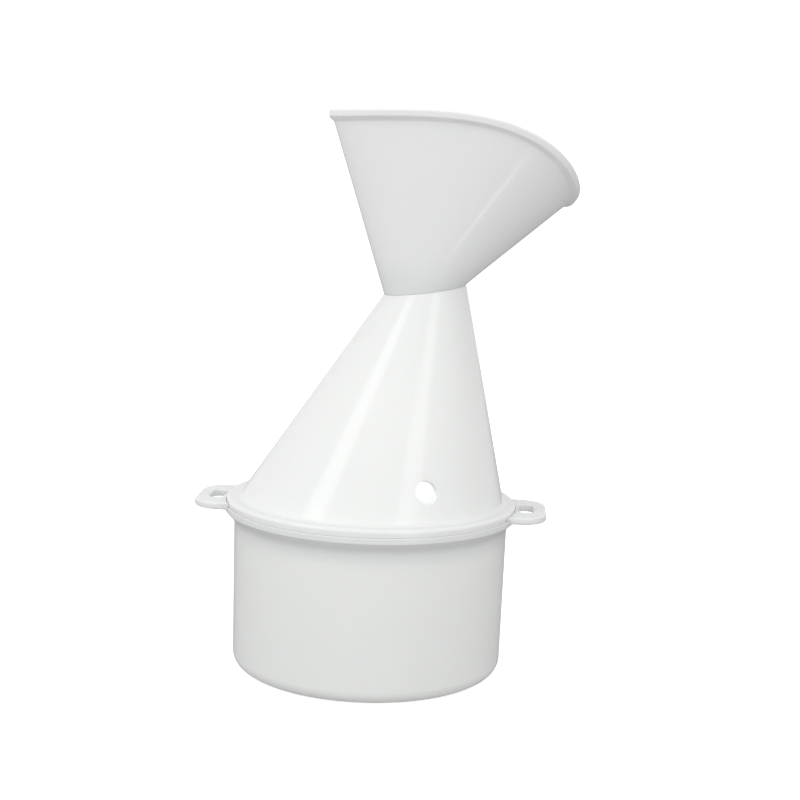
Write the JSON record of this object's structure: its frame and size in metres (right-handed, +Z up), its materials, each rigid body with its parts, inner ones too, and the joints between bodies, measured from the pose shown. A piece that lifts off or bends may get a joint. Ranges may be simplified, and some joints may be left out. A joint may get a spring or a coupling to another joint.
{
  "type": "steam inhaler",
  "caption": "Free-standing steam inhaler: a hot-water bowl with ear handles, a leaning cone hood with an air inlet, and a nose-and-mouth mask that lifts off its neck.",
  "frame": {"origin": "centre of the bowl's underside, on the surface it stands on", "axes": "+Z up along the bowl's axis; +X out through one ear handle, roughly the way the hood leans; +Y completes the right-handed frame"},
  "size_m": [0.1746, 0.1393, 0.2627],
  "materials": {
    "bowl_plastic": "smooth moulded white polypropylene",
    "hood_plastic": "smooth moulded white polypropylene, slightly translucent",
    "mask_plastic": "smooth moulded white polypropylene"
  },
  "bodies": {
    "bowl": {"bowl": "bowl_plastic"},
    "hood": {"hood": "hood_plastic"},
    "mask": {"mask": "mask_plastic"}
  },
  "joints": [
    {"name": "hood_lift", "type": "slide", "parent": "bowl", "child": "hood", "axis": [0, 0, 1], "range_m": [0, 0.06]},
    {"name": "mask_lift", "type": "slide", "parent": "hood", "child": "mask", "axis": [-0.1544, -0.0414, 0.9871], "range_m": [0, 0.04]}
  ]
}
